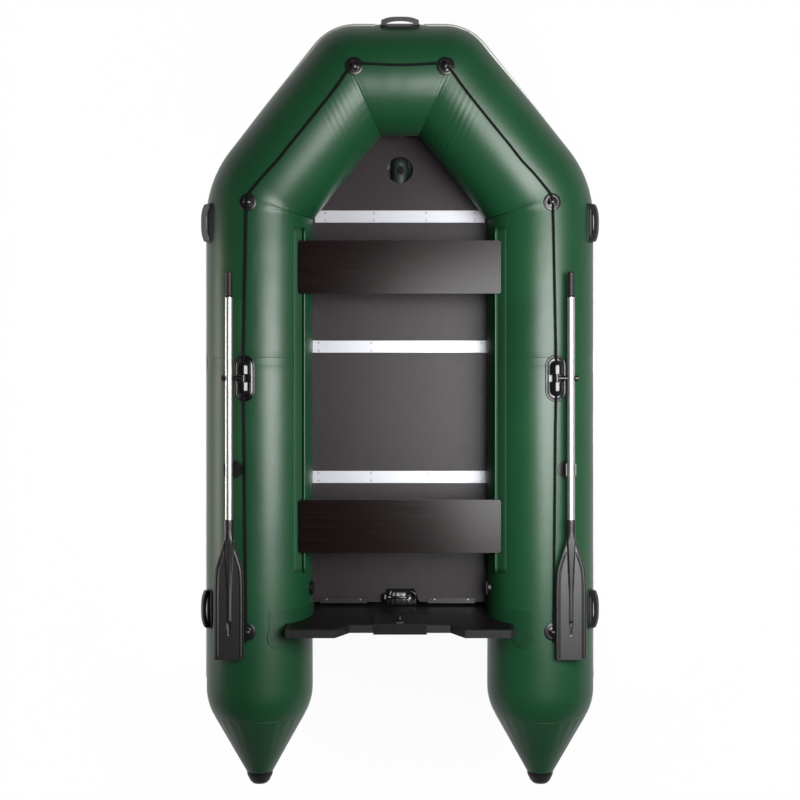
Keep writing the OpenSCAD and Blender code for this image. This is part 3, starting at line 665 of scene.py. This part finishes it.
half = [
    (600, -930, 438), (600, -891, 440), (601, -800, 437), (602, -700, 435), (603, -600, 435), (604, -500, 435),
    (605, -400, 435), (606, -300, 435), (607, -200, 435), (608, -100, 435), (610, 0, 436), (610, 60, 437),
    (610, 140, 437), (610, 200, 436), (608, 300, 435), (606, 400, 435), (604, 500, 435), (602, 600, 435),
    (600, 700, 437), (598, 760, 439), (596, 789, 440), (588, 820, 440), (560, 855, 444), (520, 900, 452),
    (473, 947, 464), (424, 1005, 476), (374, 1062, 489), (324, 1120, 502), (274, 1178, 514), (230, 1232, 527),
    (204, 1266, 536), (175, 1292, 541), (138, 1300, 540), (100, 1299, 538), (50, 1297, 536),
]
route = [Vector(p) / 1000 for p in half] + [Vector((0, 1.296, 0.536))]
route += [Vector((-p[0], p[1], p[2])) / 1000 for p in reversed(half)]


def resample(points, step):
    """Even points on a smooth curve through the given ones."""
    fine = []
    for i in range(len(points) - 1):
        a, b = points[max(i - 1, 0)], points[i]
        c, d = points[i + 1], points[min(i + 2, len(points) - 1)]
        for j in range(24):
            t = j / 24
            fine.append(0.5 * (2 * b + (c - a) * t + (2 * a - 5 * b + 4 * c - d) * t ** 2
                               + (3 * b - a - 3 * c + d) * t ** 3))
    fine.append(points[-1])
    out, left = [fine[0]], step
    for p, q in zip(fine, fine[1:]):
        gap = (q - p).length
        while gap >= left > 0:
            p = p + (q - p) * (left / gap)
            out.append(p)
            gap = (q - p).length
            left = step
        left -= gap
    return out


def rope(points, r, step=0.002):
    """A rope of three strands laid round each other."""
    line = resample(points, step)
    rings, uvs = [], []
    sides = 24
    for i, p in enumerate(line):
        way = (line[min(i + 1, len(line) - 1)] - line[max(i - 1, 0)]).normalized()
        x = way.cross(UP).normalized()
        y = x.cross(way)
        turn = 2 * pi * i * step / 0.036
        ring = []
        for k in range(sides):
            a = 2 * pi * k / sides
            lobe = abs(cos(1.5 * (a - turn))) ** 0.7
            ring.append(p + (r * (0.70 + 0.30 * lobe)) * (cos(a) * x + sin(a) * y))
            uvs.append((k / sides * 3, i * step / 0.012))
        rings.append(ring)
    return loft(rings, True, True), uvs


part, uvs = rope(route, 0.0048)
lifeline = add_mesh("laid_lifeline", part[0], part[1], rope_mat, uvs, "rope")
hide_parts("lifeline")

# ---- rope eyes ----


def hug(part, r=R, across=1.0, along=0.0):
    """Bends a flat part down over the tube: Y is along it."""
    out = []
    for v in part[0]:
        drop = r - math.sqrt(max(r * r - v[0] ** 2 * across - v[1] ** 2 * along, 1e-6))
        out.append(Vector((v[0], v[1], v[2] - drop)))
    return out, part[1]


def rope_eye():
    disc = [(0.0005, 0.0062), (0.012, 0.0064), (0.0165, 0.0056), (0.019, 0.0042), (0.024, 0.0040), (0.0265, 0.0048),
            (0.028, 0.0040), (0.031, 0.0038), (0.0332, 0.0036), (0.0346, 0.0026), (0.0350, 0.0012), (0.0346, 0.0003),
            (0.030, 0.0002), (0.0005, 0.0002)]
    base = loft(lathe(disc, 72), True)
    # a bridge of two lobes that holds the rope down
    rings = []
    n = 40
    for i in range(n + 1):
        a = pi * i / n
        x, z = 0.0165 * cos(a), 0.0035 + 0.0145 * sin(a) ** 0.8
        nx, nz = cos(a), sin(a)
        wide = 0.0085 - 0.0022 * sin(a) ** 2
        ring = []
        for k in range(16):
            b = 2 * pi * k / 16
            u, w = math.copysign(abs(cos(b)) ** 0.7, cos(b)), math.copysign(abs(sin(b)) ** 0.7, sin(b))
            ring.append(Vector((x + 0.0033 * u * nx, wide * w, z + 0.0033 * u * nz)))
        rings.append(ring)
    bridge = loft(rings, True, True)
    return join([base, bridge])


eye_part = rope_eye()
parts = []
for m, lift in (
    (tube_frame(Vector((0.572, -0.891, R)), FORE, 7), 0.0),
    (tube_frame(BEND_C + BEND_R * (cos(math.radians(12.5)) * BEND_X + sin(math.radians(12.5)) * FORE),
                cos(math.radians(12.5)) * FORE - sin(math.radians(12.5)) * BEND_X, 7), 0.0006),
    (tube_frame(BOW_END, Vector((MITRE.x, MITRE.y, 0)), 0), 0.0010),
):
    m = m @ Matrix.Translation((0, 0, lift))
    p = placed(hug(eye_part, R, 1.0, 0.25 if lift == 0.0010 else 0.0), m)
    parts += [p, mirrored(p)]
obj = add_mesh("rope_eyes_moulded", *join(parts), black_mat, None, "black_plastic")
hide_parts("rope_eyes")

# ---- oars ----

OAR_X, OAR_Z = 0.665, 0.456


def oar_blade():
    """Neck, spine, side ribs and rim in one moulding."""
    y0, y1 = -0.450, -0.995
    rows, cols = 170, 61
    rings = []
    for i in range(rows + 1):
        t = i / rows
        t = t if t < 0.97 else 0.97 + 0.03 * (1 - (1 - (t - 0.97) / 0.03) ** 2)
        y = y0 + (y1 - y0) * t
        back = y0 - y
        flat = smooth((back - 0.045) / 0.06)
        neck = 0.0195 - 0.002 * smooth(back / 0.05)
        wide = 0.0200 + 0.034 * smooth((back - 0.055) / 0.16) + 0.0055 * smooth((back - 0.12) / 0.17)
        a = neck * (1 - flat) + wide * flat
        tip = (y - y1) / 0.012
        if tip < 1:
            a -= 0.007 * (1 - math.sqrt(max(0.0, 1 - (1 - tip) ** 2)))
        top, bottom = [], []
        for j in range(cols + 1):
            u = -cos(pi * j / cols)
            x = a * u
            round_h = neck * math.sqrt(max(0.0, 1 - u * u))
            edge = a - abs(x)
            h = 0.0034 * math.sqrt(smooth(edge / 0.003) + 1e-9)
            far = smooth((back - 0.07) / 0.03) * smooth((0.538 - back) / 0.006)
            h += 0.0030 * far * math.exp(-(((edge - 0.0028) / 0.0019) ** 2))
            h += 0.0038 * far * math.exp(-(((edge - 0.0140) / 0.0020) ** 2)) * smooth((a - 0.030) / 0.01)
            reach = 1 - smooth((back - 0.40) / 0.06)
            half_w = 0.0050 + 0.0100 * (1 - smooth((back - 0.02) / 0.34))
            ridge = 0.0030 + 0.0115 * (1 - smooth((back - 0.02) / 0.30))
            h += ridge * reach * smooth((half_w - abs(x)) / 0.0035 + 0.5)
            slot = smooth((back - 0.395) / 0.006) * smooth((0.452 - back) / 0.006)
            h -= 0.0048 * slot * smooth((0.0042 + 0.10 * max(0.0, 0.45 - back) * 0.4 - abs(x)) / 0.0015)
            h = round_h * (1 - flat) + max(h, 0.0004) * flat
            top.append(Vector((OAR_X + x, y, OAR_Z + h)))
            bottom.append(Vector((OAR_X + x, y, OAR_Z - h)))
        rings.append(top + bottom[::-1][1:-1])
    return loft(rings, True, True)


def along_y(profile, x, z, sides=48):
    """A turned part on a line along Y: profile of (radius, y)."""
    rings = [[Vector((x + r * cos(2 * pi * k / sides), y, z + r * sin(2 * pi * k / sides))) for k in range(sides)]
             for r, y in profile]
    return loft(rings, True, profile[0][1] > profile[-1][1])


def oar_grip():
    """A ribbed rod with a collar where it leaves the shaft and a rounded end."""
    prof = [(0.0132, 0.3740), (0.0132, 0.4140), (0.0142, 0.4141), (0.0150, 0.4148), (0.0150, 0.4172),
            (0.0142, 0.4180), (0.0133, 0.4182)]
    y = 0.422
    while y < 0.500:
        prof += [(0.0133, y), (0.0128, y + 0.0008), (0.0128, y + 0.0018), (0.0133, y + 0.0026)]
        y += 0.0052
    prof += [(0.0133, 0.5085), (0.0128, 0.5115), (0.0112, 0.5133), (0.0080, 0.5140), (0.0005, 0.5140)]
    return along_y(prof, OAR_X, OAR_Z)


for side, flip in (("starboard", False), ("port", True)):
    for name, part, mat, slot, cad in (
        ("oar_blade_moulded", oar_blade(), blade_mat, "black_plastic", "_oar_blade"),
        ("oar_grip_moulded", oar_grip(), rubber_mat, "rubber", "_oar_grip"),
    ):
        part = mirrored(part) if flip else part
        obj = add_mesh(f"{side}_{name}", part[0], part[1], mat, None, slot, side + "_oar")
        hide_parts(side + cad)

# ---- oarlocks ----

LOCK_Y, AXLE_X, AXLE_Z = 0.100, 0.610, 0.456


def stadium(w, l, n=48):
    """Points round an oval of straight sides, as (x, y), from the right."""
    out = []
    for k in range(n):
        a = 2 * pi * (k + 0.5) / n
        x, y = cos(a) * w / 2, sin(a) * w / 2
        out.append((x, y + math.copysign((l - w) / 2, sin(a))))
    return out


def oval_pad(w, l, levels, n=64):
    """Rings of an oval pad: levels are (inset, height)."""
    return loft([[Vector((x, y, h)) for x, y in stadium(w - 2 * i, l - 2 * i, n)] for i, h in levels], True)


def oarlock():
    m = tube_frame(Vector((0.572, LOCK_Y, R)), FORE, math.degrees(math.asin((AXLE_X - 0.572) / R)))
    pad = oval_pad(0.084, 0.182, [(0.0, 0.0003), (0.0, 0.0022), (0.0016, 0.0038), (0.0050, 0.0040), (0.0062, 0.0026),
                                  (0.0090, 0.0026), (0.0102, 0.0046), (0.0140, 0.0050), (0.0250, 0.0050),
                                  (0.0400, 0.0050)], 96)
    pad = placed(hug(pad), m)
    halves = []
    for s in (-1, 1):
        rings = []
        n = 26
        for i in range(n + 1):
            t = i / n
            back = 0.0132 + t * (0.0695 - 0.0132)
            swell = math.sqrt(max(0.0, 1 - max(0.0, (back - 0.045) / 0.0247) ** 2))
            a = 0.004 + 0.022 * swell
            top = AXLE_Z - 0.030 + 0.008 + (0.038 * (0.45 + 0.55 * swell))
            if i == 0:
                a, top = a - 0.0015, top - 0.0015
            floor = 0.422
            ring = []
            for k in range(40):
                b = 2 * pi * k / 40
                c, d = cos(b), sin(b)
                x = a * math.copysign(abs(c) ** 0.85, c)
                mid = (top + floor) / 2
                z = mid + (top - floor) / 2 * math.copysign(abs(d) ** 0.9, d)
                if d > 0.2:
                    z -= 0.0016 * math.exp(-(((abs(x) - 0.014) / 0.003) ** 2))
                ring.append(Vector((AXLE_X + x, LOCK_Y + s * back, z)))
            rings.append(ring)
        halves.append(loft(rings, True, s > 0))
    return join([pad] + halves)


p = oarlock()
obj = add_mesh("oarlock_bases_moulded", *join([p, mirrored(p)]), gloss_mat, None, "gloss_plastic")
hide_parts("oarlock_bases")

# ---- drain fitting ----


def drain_fitting():
    """A flange on the transom with a low housing that fills the notch in the floor, and a ribbed tightening knob."""
    rings = []
    for y, w, h in ((-0.8405, 0.062, 0.110), (-0.838, 0.068, 0.112), (-0.815, 0.067, 0.111), (-0.797, 0.060, 0.108),
                    (-0.786, 0.054, 0.104), (-0.780, 0.050, 0.101), (-0.7785, 0.046, 0.099)):
        ring = []
        for k in range(48):
            a = 2 * pi * k / 48
            c, d = cos(a), sin(a)
            z = 0.0975 + (h - 0.0975) * d ** 0.6 if d > 0 else 0.0975 + 0.001 * d
            z += 0.0010 * sin(c * 22) * smooth((d - 0.2) * 2)
            ring.append(Vector((0.004 + w * math.copysign(abs(c) ** 0.7, c), y, z)))
        rings.append(ring)
    housing = loft(rings, True, True)
    knob = []
    for x, r in ((0.0, 0.004), (0.001, 0.0135), (0.004, 0.0158), (0.018, 0.0158), (0.021, 0.0135), (0.022, 0.010),
                 (0.034, 0.009), (0.040, 0.009)):
        ring = []
        for k in range(72):
            a = 2 * pi * k / 72
            ridge = 0.0009 * cos(18 * a) if r > 0.0157 else 0.0
            ring.append(Vector((x, (r + ridge) * cos(a), (r + ridge) * sin(a))))
        knob.append(ring)
    knob = placed(loft(knob, True, True), Matrix.Translation((-0.076, -0.806, 0.112)))
    neck = []
    for i in range(17):
        a = pi * i / 16
        p = Vector((-0.002 - 0.036 * cos(a), -0.806, 0.112 + 0.009 * sin(a)))
        way = Vector((sin(a) * 0.036, 0, cos(a) * 0.009)).normalized()
        x = way.cross(Vector((0, 1, 0)))
        neck.append([p + 0.0055 * (cos(b) * x + sin(b) * Vector((0, 1, 0)))
                     for b in [2 * pi * k / 20 for k in range(20)]])
    disc = [(0.0005, 0.1125), (0.016, 0.1125), (0.019, 0.1165), (0.0215, 0.1165), (0.023, 0.1130), (0.023, 0.1060),
            (0.0005, 0.1060)]
    cap = placed(loft(lathe(disc, 48), True), Matrix.Translation((0.045, -0.802, 0.0)))
    return join([housing, knob, loft(neck, True, True), cap])


obj = add_mesh("drain_housing", *drain_fitting(), gloss_mat, None, "gloss_plastic")

# ---- handle plates ----


def handle_pad():
    levels = [(0.0, 0.0003), (0.0, 0.0026), (0.0018, 0.0042), (0.0060, 0.0044), (0.0072, 0.0032), (0.0300, 0.0032)]
    rings = []
    for inset, h in levels:
        ring = []
        for k in range(96):
            a = 2 * pi * k / 96
            c, s = cos(a), sin(a)
            x = (0.030 - inset) * math.copysign(abs(c) ** 0.35, c)
            y = (0.079 - inset) * math.copysign(abs(s) ** 0.22, s)
            ring.append(Vector((x, y, h)))
        rings.append(ring)
    return hug(loft(rings, True))


pad = handle_pad()
parts = []
for y in (0.724, -0.819):
    p = placed(pad, tube_frame(Vector((0.572, y, R)), FORE, 62))
    parts += [p, mirrored(p)]
parts.append(placed(pad, tube_frame(Vector((0, BOW_END.y, BOW_END.z)), Vector((-1, 0, 0)), 62)))
obj = add_mesh("handle_plates_moulded", *join(parts), rubber_mat, None, "black_plastic")
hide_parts("handle_bases")

# ---- the CAD nodes that stay, with their materials and softened edges ----

finish = {
    "cone_end_caps": (rubber_mat, 0.002),
    "bottom_skin": (bottom_mat, 0),
    "keel_tube": (bottom_mat, 0),
    "bow_floor_board": (floor_mat, 0.0012),
    "front_floor_board": (floor_mat, 0.0012),
    "middle_floor_board": (floor_mat, 0.0012),
    "stern_floor_board": (floor_mat, 0.0012),
    "floor_joint_profiles": (profile_mat, 0.0004),
    "floor_rivets": (profile_mat, 0),
    "floor_cleats": (black_mat, 0.0015),
    "cleat_screws": (steel_mat, 0),
    "transom_board": (transom_mat, 0.001),
    "transom_edging": (rubber_mat, 0.0012),
    "transom_holders": (dark_fabric_mat, 0.0008),
    "outer_motor_plate": (black_mat, 0.002),
    "inner_motor_plate": (black_mat, 0.002),
    "motor_plate_bolts": (dark_steel_mat, 0),
    "safety_eye": (dark_steel_mat, 0.0006),
    "drain_body": (gloss_mat, 0.0015),
    "drain_plug": (gloss_mat, 0.002),
    "front_bench": (bench_mat, 0.0025),
    "rear_bench": (bench_mat, 0.0025),
    "front_bench_grips": (black_mat, 0.0012),
    "rear_bench_grips": (black_mat, 0.0012),
    "port_oar_shaft": (shaft_mat, 0),
    "starboard_oar_shaft": (shaft_mat, 0),
    "oarlock_axles": (steel_mat, 0.0006),
    "port_oarlock_stud": (black_mat, 0.0008),
    "starboard_oarlock_stud": (black_mat, 0.0008),
    "oar_clips": (black_mat, 0.0012),
    "handle_grips": (rubber_mat, 0.0032),
    "valve_bodies": (black_mat, 0.0008),
    "port_valve_poppet": (grey_mat, 0),
    "starboard_valve_poppet": (grey_mat, 0),
    "bow_valve_poppet": (grey_mat, 0),
    "keel_valve_poppet": (grey_mat, 0),
    "port_valve_cap": (black_mat, 0.001),
    "starboard_valve_cap": (black_mat, 0.001),
    "bow_valve_cap": (black_mat, 0.001),
    "keel_valve_cap": (gloss_mat, 0.001),
}
for name, (mat, bevel) in finish.items():
    obj = nodes[name]
    obj.data.materials.clear()
    obj.data.materials.append(mat)
    if bevel:
        modifier(obj, "BEVEL", width=bevel, segments=3, limit_method="ANGLE", angle_limit=math.radians(40),
                 harden_normals=False)

# ---- floor, light ----

FLOOR_HALF = 40
ground = Mat("studio_floor", rough=0.9, spec=0.1)
ground.b.inputs["Base Color"].default_value = (0.95, 0.95, 0.95, 1)
mesh = bpy.data.meshes.new("studio_floor")
mesh.from_pydata([(x * FLOOR_HALF, y * FLOOR_HALF, 0) for x, y in ((-1, -1), (1, -1), (1, 1), (-1, 1))],
                 [], [(0, 1, 2, 3)])
mesh.materials.append(ground.m)
floor = bpy.data.objects.new("studio_floor", mesh)
scene.collection.objects.link(floor)


def softbox(name, at, aim, size_x, size_y, power, colour=(1, 1, 1)):
    data = bpy.data.lights.new(name, "AREA")
    data.shape = "RECTANGLE"
    data.size, data.size_y = size_x, size_y
    data.energy = power
    data.color = colour
    obj = bpy.data.objects.new(name, data)
    obj.location = at
    obj.rotation_euler = (Vector(aim) - Vector(at)).to_track_quat("-Z", "Y").to_euler()
    obj.visible_camera = False
    scene.collection.objects.link(obj)
    return obj


key = softbox("overhead_softbox", (1.20, 0.21, 2.92), (1.0, 0.14, 0), 1.7, 2.1, 320)
panel = softbox("left_panel", (-2.6, -0.17, 0.24), (-0.6, -0.17, 0.24), 2.0, 0.44, 34, (1.0, 0.98, 0.86))

# a wide light that only the studio floor takes, and that nothing shades
sun = bpy.data.lights.new("floor_light", "SUN")
sun.energy = 3.02
sun.angle = 0.5
wide = bpy.data.objects.new("floor_light", sun)
wide.location = (0, 0, 6)
scene.collection.objects.link(wide)
only = bpy.data.collections.new("floor_only")
only.objects.link(floor)
wide.light_linking.receiver_collection = only
wide.light_linking.blocker_collection = only
rest = bpy.data.collections.new("all_but_floor")
rest.objects.link(floor)
rest.collection_objects[0].light_linking.link_state = "EXCLUDE"
for light in (key, panel):
    light.light_linking.receiver_collection = rest

world = bpy.data.worlds.new("studio")
scene.world = world
world.use_nodes = True
wt = world.node_tree
direction = wt.nodes.new("ShaderNodeTexCoord")
split = wt.nodes.new("ShaderNodeSeparateXYZ")
sky = wt.nodes.new("ShaderNodeValToRGB")
wt.links.new(direction.outputs["Generated"], split.inputs["Vector"])
wt.links.new(split.outputs["Z"], sky.inputs["Fac"])
wt.links.new(sky.outputs["Color"], wt.nodes["Background"].inputs["Color"])
# from the horizon to the top of the sky
HORIZON, ZENITH = 0.35, 0.03
sky.color_ramp.elements[0].position = 0.0
sky.color_ramp.elements[0].color = (HORIZON, HORIZON, HORIZON, 1)
sky.color_ramp.elements[1].position = 0.85
sky.color_ramp.elements[1].color = (ZENITH, ZENITH, ZENITH, 1)
for where, level in ((0.12, 0.26), (0.35, 0.18)):
    sky.color_ramp.elements.new(where).color = (level, level, level, 1)
wt.nodes["Background"].inputs["Strength"].default_value = 1.0
